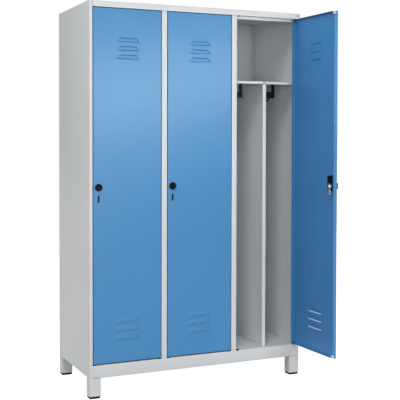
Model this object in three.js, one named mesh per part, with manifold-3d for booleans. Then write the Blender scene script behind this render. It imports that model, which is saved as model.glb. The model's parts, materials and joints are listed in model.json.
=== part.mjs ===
// Steel locker cabinet with three inset doors, built in millimetres with +Z up.
// The cabinet's own corner is the front left one at floor level: +X runs along the front, +Y to the back.
// The exported group is moved so that its origin lies on the floor under the middle of the front left foot.

import * as THREE from 'three';
import { mergeVertices } from 'three/addons/utils/BufferGeometryUtils.js';
import { ConvexGeometry } from 'three/addons/geometries/ConvexGeometry.js';
import Module from 'manifold-3d';

const wasm = await Module();
wasm.setup();

// Overall size
const WIDTH = 1200;
const DEPTH = 500;
const HEIGHT = 1950;
const COMPARTMENTS = 3;
const PITCH = WIDTH / COMPARTMENTS;

// Sheet steel and the gaps between pieces
const SHEET = 1.2;
const DOOR_SHEET = 1;
const FIT = 0.3;
const DOOR_GAP = 3;
const SILL_GAP = 5.5;

// Front frame
const POST = 16.5;
const MULLION = 30;
const TOP_RAIL = 31;
const BOTTOM_RAIL = 63.5;
const FRAME_RETURN = 21;
const STOP_SETBACK = 23;
const STOP_DROP = 15;
const REAR_FLANGE = 12;

// Feet
const FOOT_HEIGHT = 100;
const FOOT_WIDTH = 58;
const FOOT_DEPTH = 50;
const FOOT_WALL = 2;
const GLIDE_THICKNESS = 8;
const GLIDE_INSET = 2;
const GLIDE_PLUG = 12;

// Inside fittings
const SHELF_TOP = 1582;
const SHELF_LIP = 14;
const FITTING_SETBACK = 30;
const DIVIDER_FACE = 20;

// Coat hooks: drops are measured down from the shelf's underside
const HOOK_OFFSET = 100;
const HOOK_SETBACK = 110;
const HOOK_DEPTH = 12;
const HOOK_FLANGE = { width: 30, depth: 24, thickness: 3 };
const HOOK_STEM = { width: 14, drop: 81 };
const HOOK_PADDLE = { reach: 40, height: 33, corner: 4 };
const HOOK_ARM = { reach: 38, drop: 78, fall: 17, radius: 4, ball: 6.5 };

// Doors: the hinge axis is the same distance from the door's edge and from its outer face
const DOOR_DEPTH = 20;
const DOOR_LIP = 8;
const DOOR_NOTCH = 22;
const DOOR_FOLD = 1.2;
const HINGE_SETBACK = 8;
const PIN_RADIUS = 3.7;
const PIN_HEAD_RADIUS = 6;
const PIN_HEAD_HEIGHT = 3;
const PIN_REACH = 10;
const CAP_RADIUS = 8;
const CAP_HEIGHT = 1.5;
const CAP_SHANK = 5;
const REST_ANGLES = [0, 0, 92];

// Louvres, measured from the door's bottom edge to each hood's open lower edge
const LOUVRE_HEIGHTS = [116, 158, 200, 1502, 1544, 1586];
const LOUVRE = { top: 89, bottom: 125, front: 113, height: 21, depth: 5 };

// Lock
const KNOB_HEIGHT = 1038;
const KNOB_RADIUS = 18.5;
const GRIP = { width: 9, length: 32, reach: 23 };
const SPINDLE_FROM_EDGE = 27;
const SPINDLE_SIDE = 8;
const SPINDLE_HOLE_RADIUS = 9;
const LOCK_INNER = 16.5;
const CASE = { left: -18, right: 20, bottom: -14, top: 53 };
const CASE_LEG = { width: 9, bottom: -24 };
const TONGUE_LENGTH = 43;
const TONGUE_THICKNESS = 2.5;
const TONGUE_HUB_RADIUS = 13;
const TONGUE_SCREW = { radius: 6.5, top: 4.5, side: 2, height: 3.5 };
const SLOT_DROP = 57;
const SLOT = { width: 7, height: 33 };
const SLOT_RIM = 1;
const PLUG_RISE = 105;
const PLUG = { width: 7, height: 28, thickness: 2 };

// Heights and setbacks that follow from the sizes above
const FRAME_BOTTOM = BOTTOM_RAIL + FOOT_HEIGHT;
const FRAME_TOP = HEIGHT - TOP_RAIL;
const DOOR_BOTTOM = FRAME_BOTTOM + SILL_GAP;
const DOOR_HEIGHT = FRAME_TOP - DOOR_GAP - DOOR_BOTTOM;
const TOP_UNDERSIDE = HEIGHT - SHEET - FIT;
const FLANGE_BACK = DEPTH - SHEET - FIT;
const INSIDE_BACK = FLANGE_BACK - SHEET - FIT;

const CARCASS_GREY = { color: 0xc9cdcf, roughness: 0.5, metalness: 0.1 };
const DOOR_BLUE = { color: 0x4287c8, roughness: 0.45, metalness: 0.1 };
const BLACK_PLASTIC = { color: 0x141414, roughness: 0.45, metalness: 0 };
const ZINC = { color: 0xc4c7cb, roughness: 0.3, metalness: 0.9 };

// Solids

function solid(geometry) {
  const bare = geometry.clone();
  bare.deleteAttribute('normal');
  bare.deleteAttribute('uv');
  const merged = mergeVertices(bare, 1e-4);
  const vertProperties = new Float32Array(merged.attributes.position.array);
  const triVerts = new Uint32Array(merged.index.array);
  return new wasm.Manifold(new wasm.Mesh({ numProp: 3, vertProperties, triVerts }));
}

function geometryOf(manifold) {
  const mesh = manifold.getMesh();
  const geometry = new THREE.BufferGeometry();
  geometry.setAttribute('position', new THREE.BufferAttribute(new Float32Array(mesh.vertProperties), 3));
  geometry.setIndex(new THREE.BufferAttribute(new Uint32Array(mesh.triVerts), 1));
  geometry.computeVertexNormals();
  return geometry;
}

// The two ends of a length that lies evenly about zero.
function centred(length) {
  return [-length / 2, length / 2];
}

function box(x, y, z) {
  const geometry = new THREE.BoxGeometry(x[1] - x[0], y[1] - y[0], z[1] - z[0]);
  geometry.translate((x[0] + x[1]) / 2, (y[0] + y[1]) / 2, (z[0] + z[1]) / 2);
  return solid(geometry);
}

function outline(points) {
  return new THREE.Shape(points.map(([x, y]) => new THREE.Vector2(x, y)));
}

// A section in the XY plane, drawn up along Z.
function upright(points, z) {
  const geometry = new THREE.ExtrudeGeometry(outline(points), { depth: z[1] - z[0], bevelEnabled: false });
  geometry.translate(0, 0, z[0]);
  return solid(geometry);
}

// A section in the YZ plane, drawn along X.
function crosswise(points, x) {
  const geometry = new THREE.ExtrudeGeometry(outline(points), { depth: x[1] - x[0], bevelEnabled: false });
  const yzx = new THREE.Matrix4().makeBasis(
    new THREE.Vector3(0, 1, 0),
    new THREE.Vector3(0, 0, 1),
    new THREE.Vector3(1, 0, 0),
  );
  geometry.applyMatrix4(yzx);
  geometry.translate(x[0], 0, 0);
  return solid(geometry);
}

// A turned piece about a vertical axis, from [radius, height] pairs that start and end on the axis.
function turned(profile, x, y, segments = 20) {
  const points = profile.map(([radius, z]) => new THREE.Vector2(radius, z));
  const geometry = new THREE.LatheGeometry(points, segments);
  geometry.rotateX(Math.PI / 2);
  geometry.translate(x, y, 0);
  return solid(geometry);
}

function rodProfile(radius, span) {
  return [[0, span[0]], [radius, span[0]], [radius, span[1]], [0, span[1]]];
}

function rod(radius, x, y, z) {
  return turned(rodProfile(radius, z), x, y);
}

// A turned piece about an axis along Y, from [radius, y] pairs that start and end on the axis.
function turnedAlongY(profile, x, z, segments = 28) {
  const points = profile.map(([radius, y]) => new THREE.Vector2(radius, y));
  const geometry = new THREE.LatheGeometry(points, segments);
  geometry.translate(x, 0, z);
  return solid(geometry);
}

function join(...solids) {
  return solids.reduce((whole, piece) => whole.add(piece));
}

function cut(whole, ...tools) {
  return tools.reduce((left, tool) => left.subtract(tool), whole);
}

function part(parent, name, shape, look, position = [0, 0, 0]) {
  const mesh = new THREE.Mesh(geometryOf(shape), new THREE.MeshStandardMaterial(look));
  mesh.name = name;
  mesh.position.set(...position);
  parent.add(mesh);
}

// Places that several pieces share

function bay(index) {
  const left = index === 0 ? POST : index * PITCH + MULLION / 2;
  const right = index === COMPARTMENTS - 1 ? WIDTH - POST : (index + 1) * PITCH - MULLION / 2;
  const wallLeft = index === 0 ? SHEET : index * PITCH + SHEET / 2;
  const wallRight = index === COMPARTMENTS - 1 ? WIDTH - SHEET : (index + 1) * PITCH - SHEET / 2;
  return {
    number: index + 1,
    left,
    right,
    middle: (left + right) / 2,
    wallLeft: wallLeft + FIT,
    wallRight: wallRight - FIT,
    hinge: right - DOOR_GAP - HINGE_SETBACK,
    spare: left + DOOR_GAP + HINGE_SETBACK,
    doorWidth: right - left - 2 * DOOR_GAP,
  };
}

const bays = Array.from({ length: COMPARTMENTS }, (unused, index) => bay(index));

// A folded front edge: a face with a return at each end and a thin web running to the back.
function postSection(face, front, depth, back) {
  const half = face / 2;
  const web = SHEET / 2;
  return [
    [-half, front],
    [half, front],
    [half, front + depth],
    [half - SHEET, front + depth],
    [half - SHEET, front + SHEET],
    [web, front + SHEET],
    [web, back - SHEET],
    [REAR_FLANGE, back - SHEET],
    [REAR_FLANGE, back],
    [-web, back],
    [-web, front + SHEET],
    [-half + SHEET, front + SHEET],
    [-half + SHEET, front + depth],
    [-half, front + depth],
  ];
}

// Carcass

function sidePanel(mirrored) {
  const section = [
    [0, 0],
    [POST, 0],
    [POST, FRAME_RETURN],
    [POST - SHEET, FRAME_RETURN],
    [POST - SHEET, SHEET],
    [SHEET, SHEET],
    [SHEET, FLANGE_BACK - SHEET],
    [REAR_FLANGE, FLANGE_BACK - SHEET],
    [REAR_FLANGE, FLANGE_BACK],
    [0, FLANGE_BACK],
  ];
  const placed = mirrored ? section.map(([x, y]) => [WIDTH - x, y]) : section;
  return upright(placed, [FOOT_HEIGHT, TOP_UNDERSIDE]);
}

function partition() {
  const section = postSection(MULLION, 0, FRAME_RETURN, FLANGE_BACK);
  const post = upright(section, [FRAME_BOTTOM + FIT, FRAME_TOP - FIT]);
  const behindRail = STOP_SETBACK + SHEET + FIT;
  const web = box([-SHEET / 2, SHEET / 2], [behindRail, INSIDE_BACK], [FRAME_TOP - SHEET, TOP_UNDERSIDE]);
  return join(post, web);
}

function topPanel() {
  const railX = [POST + FIT, WIDTH - POST - FIT];
  const rearX = [REAR_FLANGE + FIT, WIDTH - REAR_FLANGE - FIT];
  const stopY = [STOP_SETBACK, STOP_SETBACK + SHEET];
  const stopBottom = FRAME_TOP - STOP_DROP;
  const sheet = box([0, WIDTH], [0, DEPTH], [HEIGHT - SHEET, HEIGHT]);
  const rail = box(railX, [0, SHEET], [FRAME_TOP, HEIGHT]);
  const returned = box(railX, [0, stopY[1]], [FRAME_TOP, FRAME_TOP + SHEET]);
  const stop = box(railX, stopY, [stopBottom, FRAME_TOP + SHEET]);
  const rear = box(rearX, [FLANGE_BACK - SHEET, FLANGE_BACK], [FRAME_TOP, HEIGHT]);
  const slots = bays.slice(1).map((place) => {
    const web = (place.number - 1) * PITCH;
    return box([web - SHEET, web + SHEET], [stopY[0] - FIT, stopY[1] + FIT], [stopBottom - FIT, FRAME_TOP]);
  });
  const holes = pinHoles([FRAME_TOP - FIT, FRAME_TOP + SHEET + FIT]);
  return cut(join(sheet, rail, returned, stop, rear), ...slots, ...holes);
}

function bottomPanel() {
  const railX = [POST + FIT, WIDTH - POST - FIT];
  const wideX = [SHEET + FIT, WIDTH - SHEET - FIT];
  const floor = box(wideX, [FRAME_RETURN + FIT, INSIDE_BACK], [FRAME_BOTTOM - SHEET, FRAME_BOTTOM]);
  const front = box(railX, [0, FITTING_SETBACK], [FRAME_BOTTOM - SHEET, FRAME_BOTTOM]);
  const rail = box(railX, [0, SHEET], [FOOT_HEIGHT, FRAME_BOTTOM]);
  const rear = box(wideX, [INSIDE_BACK - SHEET, INSIDE_BACK], [FOOT_HEIGHT, FRAME_BOTTOM]);
  const lipZ = [FOOT_HEIGHT, FOOT_HEIGHT + SHEET];
  const frontLip = box(railX, [0, FITTING_SETBACK], lipZ);
  const rearLip = box(wideX, [INSIDE_BACK - FITTING_SETBACK, INSIDE_BACK], lipZ);
  const gussets = [0, 1].flatMap((right) => [0, 1].map((back) => gusset(right, back)));
  const holes = pinHoles([FRAME_BOTTOM - SHEET - FIT, FRAME_BOTTOM + FIT]);
  return cut(join(floor, front, rail, rear, frontLip, rearLip, ...gussets), ...holes);
}

// A corner plate welded into the bottom panel, which a foot bolts to.
function gusset(right, back) {
  const near = POST + FIT;
  const x = right ? [WIDTH - FOOT_WIDTH - SHEET, WIDTH - near] : [near, FOOT_WIDTH + SHEET];
  const y = back ? [INSIDE_BACK - FOOT_DEPTH, INSIDE_BACK] : [0, FOOT_DEPTH];
  return box(x, y, [FOOT_HEIGHT, FOOT_HEIGHT + SHEET]);
}

// Each bay has a hinge hole at one end and a spare one at the other, so its door can hang either way.
function pinHoles(z) {
  const places = bays.flatMap((place) => [place.hinge, place.spare]);
  return places.map((x) => rod(PIN_RADIUS + FIT, x, HINGE_SETBACK, z));
}

// An upright block with the foot's section, smaller all round by the inset.
function footBlock(inset, z) {
  return box(centred(FOOT_WIDTH - 2 * inset), centred(FOOT_DEPTH - 2 * inset), z);
}

function foot() {
  const tube = footBlock(0, [GLIDE_THICKNESS + FIT, FOOT_HEIGHT - FIT]);
  return cut(tube, footBlock(FOOT_WALL, [0, FOOT_HEIGHT - FOOT_WALL - SHEET]));
}

function glide() {
  const sole = footBlock(GLIDE_INSET, [0, GLIDE_THICKNESS]);
  const plug = footBlock(FOOT_WALL + FIT, [0, GLIDE_THICKNESS + GLIDE_PLUG]);
  return join(sole, plug);
}

// Inside fittings

function shelf(place) {
  const back = INSIDE_BACK;
  const bottom = SHELF_TOP - SHELF_LIP;
  const section = [
    [FITTING_SETBACK, bottom],
    [FITTING_SETBACK + REAR_FLANGE, bottom],
    [FITTING_SETBACK + REAR_FLANGE, bottom + SHEET],
    [FITTING_SETBACK + SHEET, bottom + SHEET],
    [FITTING_SETBACK + SHEET, SHELF_TOP - SHEET],
    [back - SHEET, SHELF_TOP - SHEET],
    [back - SHEET, bottom],
    [back, bottom],
    [back, SHELF_TOP],
    [FITTING_SETBACK, SHELF_TOP],
  ];
  return crosswise(section, [place.wallLeft, place.wallRight]);
}

function divider() {
  const section = postSection(DIVIDER_FACE, FITTING_SETBACK, REAR_FLANGE, FLANGE_BACK);
  return upright(section, [FRAME_BOTTOM + FIT, SHELF_TOP - SHELF_LIP - FIT]);
}

// A coat hook screwed under a shelf: a stem with a broad paddle and, below it, a ball-ended arm.
function coatHook() {
  const top = SHELF_TOP - SHEET - FIT;
  const depth = centred(HOOK_DEPTH);
  const flangeZ = [top - HOOK_FLANGE.thickness, top];
  const flange = box(centred(HOOK_FLANGE.width), centred(HOOK_FLANGE.depth), flangeZ);
  const stem = box(centred(HOOK_STEM.width), depth, [top - HOOK_STEM.drop, top]);

  const { reach, height, corner } = HOOK_PADDLE;
  const face = new THREE.Shape();
  face.moveTo(0, 0);
  face.absarc(corner - reach, corner, corner, -Math.PI / 2, -Math.PI, true);
  face.absarc(corner - reach, height - corner, corner, Math.PI, Math.PI / 2, true);
  face.lineTo(0, height);
  const paddle = new THREE.ExtrudeGeometry(face, {
    depth: HOOK_DEPTH,
    bevelEnabled: false,
    curveSegments: 5,
  });
  paddle.rotateX(Math.PI / 2);
  paddle.translate(0, HOOK_DEPTH / 2, top - HOOK_STEM.drop);

  const length = Math.hypot(HOOK_ARM.reach, HOOK_ARM.fall);
  const arm = new THREE.CylinderGeometry(HOOK_ARM.radius, HOOK_ARM.radius, length, 10);
  arm.rotateX(Math.PI / 2);
  arm.rotateY(Math.atan2(HOOK_ARM.reach, HOOK_ARM.fall));
  arm.translate(-HOOK_ARM.reach / 2, 0, top - HOOK_ARM.drop - HOOK_ARM.fall / 2);
  const ball = new THREE.SphereGeometry(HOOK_ARM.ball, 12, 8);
  ball.translate(-HOOK_ARM.reach, 0, top - HOOK_ARM.drop - HOOK_ARM.fall);
  return join(flange, stem, solid(paddle), solid(arm), solid(ball));
}

// Hinge pins and the caps of the spare holes

function topPin() {
  const sheetTop = FRAME_TOP + SHEET + FIT;
  const tip = FRAME_TOP - DOOR_GAP - PIN_REACH;
  const profile = [
    [0, tip],
    [PIN_RADIUS, tip],
    [PIN_RADIUS, sheetTop],
    [PIN_HEAD_RADIUS, sheetTop],
    [PIN_HEAD_RADIUS, sheetTop + PIN_HEAD_HEIGHT],
    [0, sheetTop + PIN_HEAD_HEIGHT],
  ];
  return turned(profile, 0, 0);
}

function bottomPin() {
  const under = FRAME_BOTTOM - SHEET - FIT;
  const over = FRAME_BOTTOM + FIT;
  const seat = DOOR_BOTTOM - FIT;
  const tip = DOOR_BOTTOM + PIN_REACH;
  const profile = [
    [0, under - PIN_HEAD_HEIGHT],
    [PIN_HEAD_RADIUS, under - PIN_HEAD_HEIGHT],
    [PIN_HEAD_RADIUS, under],
    [PIN_RADIUS, under],
    [PIN_RADIUS, over],
    [PIN_HEAD_RADIUS, over],
    [PIN_HEAD_RADIUS, seat],
    [PIN_RADIUS, seat],
    [PIN_RADIUS, tip],
    [0, tip],
  ];
  return turned(profile, 0, 0);
}

// A cap is a low round head on a shank: up is 1 for the floor's caps and -1 for those under the top rail.
function holeCap(up, face) {
  const seat = face + up * FIT;
  const head = seat + up * CAP_HEIGHT;
  const tip = face - up * CAP_SHANK;
  const profile = [
    [0, tip],
    [PIN_RADIUS, tip],
    [PIN_RADIUS, seat],
    [CAP_RADIUS, seat],
    [CAP_RADIUS, head],
    [0, head],
  ];
  return turned(up > 0 ? profile : profile.reverse(), 0, 0);
}

// Doors: the hinge axis is at X = 0, Y = 0, the bottom edge is at Z = 0, and the door reaches to -X.

function louvreHull(x, z, inset, back) {
  const front = -HINGE_SETBACK;
  const high = z + LOUVRE.height - 2 * inset;
  const low = z - inset;
  const corners = [-1, 1].flatMap((side) => {
    const reach = (width) => x + side * (width / 2 - inset);
    return [
      new THREE.Vector3(reach(LOUVRE.top), front + inset / 2, high),
      new THREE.Vector3(reach(LOUVRE.top), back, high),
      new THREE.Vector3(reach(LOUVRE.bottom), front + inset / 2, low),
      new THREE.Vector3(reach(LOUVRE.bottom), back, low),
      new THREE.Vector3(reach(LOUVRE.front), front - LOUVRE.depth + inset, low),
    ];
  });
  return solid(new ConvexGeometry(corners));
}

function door(width) {
  const outer = -HINGE_SETBACK;
  const rim = outer + DOOR_DEPTH;
  const hingeEdge = HINGE_SETBACK;
  const freeEdge = hingeEdge - width;
  const middle = hingeEdge - width / 2;
  const fullZ = [0, DOOR_HEIGHT];
  const lipZ = [DOOR_NOTCH, DOOR_HEIGHT - DOOR_NOTCH];
  const flangeX = [freeEdge + DOOR_NOTCH, hingeEdge];
  const face = box([freeEdge, hingeEdge], [outer, outer + DOOR_SHEET], fullZ);
  const hingeFlange = box([hingeEdge - DOOR_SHEET, hingeEdge], [outer, rim], fullZ);
  const hingeLip = box([hingeEdge - DOOR_LIP, hingeEdge], [rim - DOOR_SHEET, rim], lipZ);
  const freeFlange = box([freeEdge, freeEdge + DOOR_SHEET], [outer, rim], fullZ);
  const freeLip = box([freeEdge, freeEdge + DOOR_LIP], [rim - DOOR_SHEET, rim], lipZ);
  const bottomFlange = box(flangeX, [outer, rim], [0, DOOR_SHEET]);
  const topFlange = box(flangeX, [outer, rim], [DOOR_HEIGHT - DOOR_SHEET, DOOR_HEIGHT]);
  const shell = join(face, hingeFlange, hingeLip, freeFlange, freeLip, bottomFlange, topFlange);
  const hoods = LOUVRE_HEIGHTS.map((z) => louvreHull(middle, z, 0, outer + DOOR_SHEET / 2));
  const vents = LOUVRE_HEIGHTS.map((z) => louvreHull(middle, z, DOOR_SHEET, outer + 2 * DOOR_SHEET));
  const spindle = freeEdge + SPINDLE_FROM_EDGE;
  const lockZ = KNOB_HEIGHT - DOOR_BOTTOM;
  const through = [outer - 1, outer + 2 * DOOR_SHEET];
  const spindleHole = turnedAlongY(rodProfile(SPINDLE_HOLE_RADIUS, through), spindle, lockZ);
  const slotX = centred(SLOT.width + 2 * FIT).map((x) => spindle + x);
  const slotZ = centred(SLOT.height + 2 * FIT).map((z) => lockZ - SLOT_DROP + z);
  const slot = box(slotX, through, slotZ);
  const pins = rod(PIN_RADIUS + FIT, 0, 0, [-1, DOOR_HEIGHT + 1]);
  const corner = [
    [hingeEdge + 1, outer - 1],
    [hingeEdge + 1, outer + DOOR_FOLD + 1],
    [hingeEdge - DOOR_FOLD - 1, outer - 1],
  ];
  const folded = upright(corner, [-1, DOOR_HEIGHT + 1]);
  return cut(join(shell, ...hoods), ...vents, spindleHole, slot, pins, folded);
}

// Lock pieces, about the spindle: X = 0, Z = 0 on its axis, with Y as for the door.

function knob() {
  const seat = -HINGE_SETBACK - FIT;
  const profile = [
    [0, seat - 14],
    [14, seat - 14],
    [17, seat - 11],
    [KNOB_RADIUS, seat - 6],
    [KNOB_RADIUS, seat],
    [0, seat],
  ];
  const grip = box(centred(GRIP.width), [seat - GRIP.reach, seat - 8], centred(GRIP.length));
  const spindle = box(centred(SPINDLE_SIDE), [seat - 1, LOCK_INNER + FIT], centred(SPINDLE_SIDE));
  return join(turnedAlongY(profile, 0, 0), grip, spindle);
}

function lockCase() {
  const y = [-HINGE_SETBACK + DOOR_SHEET + FIT, LOCK_INNER];
  const body = box([CASE.left, CASE.right], y, [CASE.bottom, CASE.top]);
  const legZ = [CASE_LEG.bottom, CASE.bottom + 1];
  const legs = [CASE.left, CASE.right - CASE_LEG.width].map((x) => box([x, x + CASE_LEG.width], y, legZ));
  const bore = turnedAlongY(rodProfile(TONGUE_SCREW.radius, [y[0] - 1, y[1] + 1]), 0, 0);
  return cut(join(body, ...legs), bore);
}

// The tongue hangs down when it is unlocked, and turns to the door's free edge.
function tongue() {
  const front = LOCK_INNER + 2 * FIT;
  const y = [front, front + TONGUE_THICKNESS];
  const hub = turnedAlongY(rodProfile(TONGUE_HUB_RADIUS, y), 0, 0);
  const blade = new THREE.Shape();
  blade.moveTo(-7, 0);
  blade.lineTo(-7, -16);
  blade.lineTo(-10, -24);
  blade.lineTo(-10, -TONGUE_LENGTH + 3);
  blade.absarc(-7, -TONGUE_LENGTH + 3, 3, Math.PI, Math.PI * 1.5, false);
  blade.absarc(7, -TONGUE_LENGTH + 3, 3, Math.PI * 1.5, Math.PI * 2, false);
  blade.lineTo(10, -24);
  blade.lineTo(7, -16);
  blade.lineTo(7, 0);
  const geometry = new THREE.ExtrudeGeometry(blade, {
    depth: TONGUE_THICKNESS,
    bevelEnabled: false,
    curveSegments: 4,
  });
  geometry.rotateX(Math.PI / 2);
  geometry.translate(0, y[1], 0);
  return join(hub, solid(geometry));
}

function tongueScrew() {
  const { radius, top, side, height } = TONGUE_SCREW;
  const seat = LOCK_INNER + 3 * FIT + TONGUE_THICKNESS;
  const profile = [
    [0, seat],
    [radius, seat],
    [radius, seat + side],
    [top, seat + height],
    [0, seat + height],
  ];
  return turnedAlongY(profile, 0, 0);
}

function slotInsert() {
  const seat = -HINGE_SETBACK - FIT;
  const front = seat - SLOT_RIM;
  const plate = box(centred(SLOT.width + 2 * SLOT_RIM), [front, seat], centred(SLOT.height + 3 * SLOT_RIM));
  const body = box(centred(SLOT.width), [front, 4 - HINGE_SETBACK], centred(SLOT.height));
  return join(plate, body);
}

function insidePlug() {
  const seat = -HINGE_SETBACK + DOOR_SHEET + FIT;
  return box(centred(PLUG.width), [seat, seat + PLUG.thickness], centred(PLUG.height));
}

// The assembly

const locker = new THREE.Group();
locker.position.set(-FOOT_WIDTH / 2, -FOOT_DEPTH / 2, 0);

part(locker, 'side_panel_left', sidePanel(false), CARCASS_GREY);
part(locker, 'side_panel_right', sidePanel(true), CARCASS_GREY);
part(locker, 'top_panel', topPanel(), CARCASS_GREY);
part(locker, 'bottom_panel', bottomPanel(), CARCASS_GREY);
const backSheet = box([0, WIDTH], [DEPTH - SHEET, DEPTH], [FOOT_HEIGHT, TOP_UNDERSIDE]);
part(locker, 'back_panel', backSheet, CARCASS_GREY);

for (const index of [1, 2]) {
  part(locker, `partition_${index}`, partition(), CARCASS_GREY, [index * PITCH, 0, 0]);
}

const corners = { front_left: [0, 0], front_right: [1, 0], rear_left: [0, 1], rear_right: [1, 1] };
for (const [corner, [right, back]] of Object.entries(corners)) {
  const x = right ? WIDTH - FOOT_WIDTH / 2 : FOOT_WIDTH / 2;
  const y = back ? DEPTH - FOOT_DEPTH / 2 : FOOT_DEPTH / 2;
  part(locker, `foot_${corner}`, foot(), CARCASS_GREY, [x, y, 0]);
  part(locker, `foot_glide_${corner}`, glide(), BLACK_PLASTIC, [x, y, 0]);
}

for (const place of bays) {
  const n = place.number;
  const hinge = [place.hinge, HINGE_SETBACK, 0];
  const spare = [place.spare, HINGE_SETBACK, 0];
  part(locker, `hat_shelf_${n}`, shelf(place), CARCASS_GREY);
  part(locker, `divider_${n}`, divider(), CARCASS_GREY, [place.middle, 0, 0]);
  for (const [side, offset] of [['left', -HOOK_OFFSET], ['right', HOOK_OFFSET]]) {
    const seat = [place.middle + offset, HOOK_SETBACK, 0];
    part(locker, `coat_hook_${n}_${side}`, coatHook(), BLACK_PLASTIC, seat);
  }
  part(locker, `hinge_pin_top_${n}`, topPin(), BLACK_PLASTIC, hinge);
  part(locker, `hinge_pin_bottom_${n}`, bottomPin(), BLACK_PLASTIC, hinge);
  part(locker, `hole_cap_top_${n}`, holeCap(-1, FRAME_TOP), BLACK_PLASTIC, spare);
  part(locker, `hole_cap_bottom_${n}`, holeCap(1, FRAME_BOTTOM), BLACK_PLASTIC, spare);

  const swing = new THREE.Group();
  swing.position.set(place.hinge, HINGE_SETBACK, DOOR_BOTTOM);
  swing.rotation.z = THREE.MathUtils.degToRad(REST_ANGLES[place.number - 1]);
  locker.add(swing);
  const spindle = [HINGE_SETBACK - place.doorWidth + SPINDLE_FROM_EDGE, 0, KNOB_HEIGHT - DOOR_BOTTOM];
  const below = [spindle[0], 0, spindle[2] - SLOT_DROP];
  const above = [spindle[0], 0, spindle[2] + PLUG_RISE];
  part(swing, `door_${n}`, door(place.doorWidth), DOOR_BLUE);
  part(swing, `knob_${n}`, knob(), BLACK_PLASTIC, spindle);
  part(swing, `lock_case_${n}`, lockCase(), BLACK_PLASTIC, spindle);
  part(swing, `latch_tongue_${n}`, tongue(), ZINC, spindle);
  part(swing, `tongue_screw_${n}`, tongueScrew(), ZINC, spindle);
  part(swing, `slot_insert_${n}`, slotInsert(), BLACK_PLASTIC, below);
  part(swing, `inside_plug_${n}`, insidePlug(), BLACK_PLASTIC, above);
}

export default locker;
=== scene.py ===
"""The looks of a steel locker cabinet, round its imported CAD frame. Metres, +Z up, the CAD's own axes."""

import json
import math

import bmesh
import bpy
from mathutils import Matrix, Vector


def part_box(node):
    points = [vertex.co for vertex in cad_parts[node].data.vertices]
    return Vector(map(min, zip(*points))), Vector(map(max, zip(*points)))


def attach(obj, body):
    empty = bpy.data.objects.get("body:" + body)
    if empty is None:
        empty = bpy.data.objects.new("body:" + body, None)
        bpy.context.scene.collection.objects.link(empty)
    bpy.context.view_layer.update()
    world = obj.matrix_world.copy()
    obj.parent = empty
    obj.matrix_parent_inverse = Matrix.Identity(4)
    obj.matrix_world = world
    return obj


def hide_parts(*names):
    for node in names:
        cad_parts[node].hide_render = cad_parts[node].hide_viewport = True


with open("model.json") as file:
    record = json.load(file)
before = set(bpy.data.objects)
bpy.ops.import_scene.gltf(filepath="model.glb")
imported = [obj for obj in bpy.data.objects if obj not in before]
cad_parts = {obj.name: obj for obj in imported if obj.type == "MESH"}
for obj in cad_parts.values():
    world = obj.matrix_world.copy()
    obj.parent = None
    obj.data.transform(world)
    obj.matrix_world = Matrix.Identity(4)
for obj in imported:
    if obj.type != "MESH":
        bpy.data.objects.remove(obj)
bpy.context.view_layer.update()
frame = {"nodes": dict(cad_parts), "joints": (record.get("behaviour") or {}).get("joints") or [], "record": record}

MM = 0.001

# Sheet metal
SHEET = 1.2 * MM
HALF = SHEET / 2
SHEET_BEND = 1.8 * MM
BOTTOM_RAIL_BEND = 2.4 * MM
DOOR_SHEET = 1 * MM
DOOR_BEND = 2 * MM
BEND_STEPS = 5
EDGE_BREAK = 0.2 * MM
FIT = 0.3 * MM

RECORD = frame["record"]
BODY_OF = {node: body for body, nodes in RECORD["behaviour"]["bodies"].items() for node in nodes}
SLOT_OF = {part["node"]: part["material_slot"] for part in RECORD["subparts"]}
JOINTS = {joint["name"]: joint for joint in frame["joints"]}
DOORS = (1, 2, 3)
CORNERS = ("front_left", "front_right", "rear_left", "rear_right")


# Materials

GAP_REACH = 12 * MM
GAP_SHADE = ((0.2, (0.02, 0.02, 0.02)), (0.5, (1, 1, 1)))


def new_material(name):
    material = bpy.data.materials.new(name)
    material.use_nodes = True
    nodes = material.node_tree.nodes
    return material, nodes, material.node_tree.links, nodes["Principled BSDF"]


def noise(nodes, links, coordinates, scale, detail):
    node = nodes.new("ShaderNodeTexNoise")
    node.inputs["Scale"].default_value = scale
    node.inputs["Detail"].default_value = detail
    links.new(coordinates, node.inputs["Vector"])
    return node.outputs["Fac"]


def ramp(nodes, links, source, stops):
    """source, from 0 to 1, turned into a colour by (place, colour) stops in rising order."""
    node = nodes.new("ShaderNodeValToRGB")
    elements = node.color_ramp.elements
    for element, (place, colour) in zip(elements, (stops[0], stops[-1])):
        element.position, element.color = place, (*colour, 1)
    for place, colour in stops[1:-1]:
        elements.new(place).color = (*colour, 1)
    links.new(source, node.inputs["Fac"])
    return node.outputs["Color"]


def spread(nodes, links, source, low, high):
    """source, from 0 to 1, stretched to run from low to high."""
    node = nodes.new("ShaderNodeMapRange")
    node.inputs["To Min"].default_value = low
    node.inputs["To Max"].default_value = high
    links.new(source, node.inputs["Value"])
    return node.outputs["Result"]


def bump(nodes, links, shader, heights):
    """Stacks bumps on the shader's normal, from (height, depth in metres) pairs."""
    last = None
    for height, depth in heights:
        node = nodes.new("ShaderNodeBump")
        node.inputs["Distance"].default_value = depth
        node.inputs["Strength"].default_value = 1.0
        links.new(height, node.inputs["Height"])
        if last:
            links.new(last, node.inputs["Normal"])
        last = node.outputs["Normal"]
    links.new(last, shader.inputs["Normal"])


def scaled(colour, factor):
    return tuple(min(channel * factor, 1.0) for channel in colour)


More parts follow.
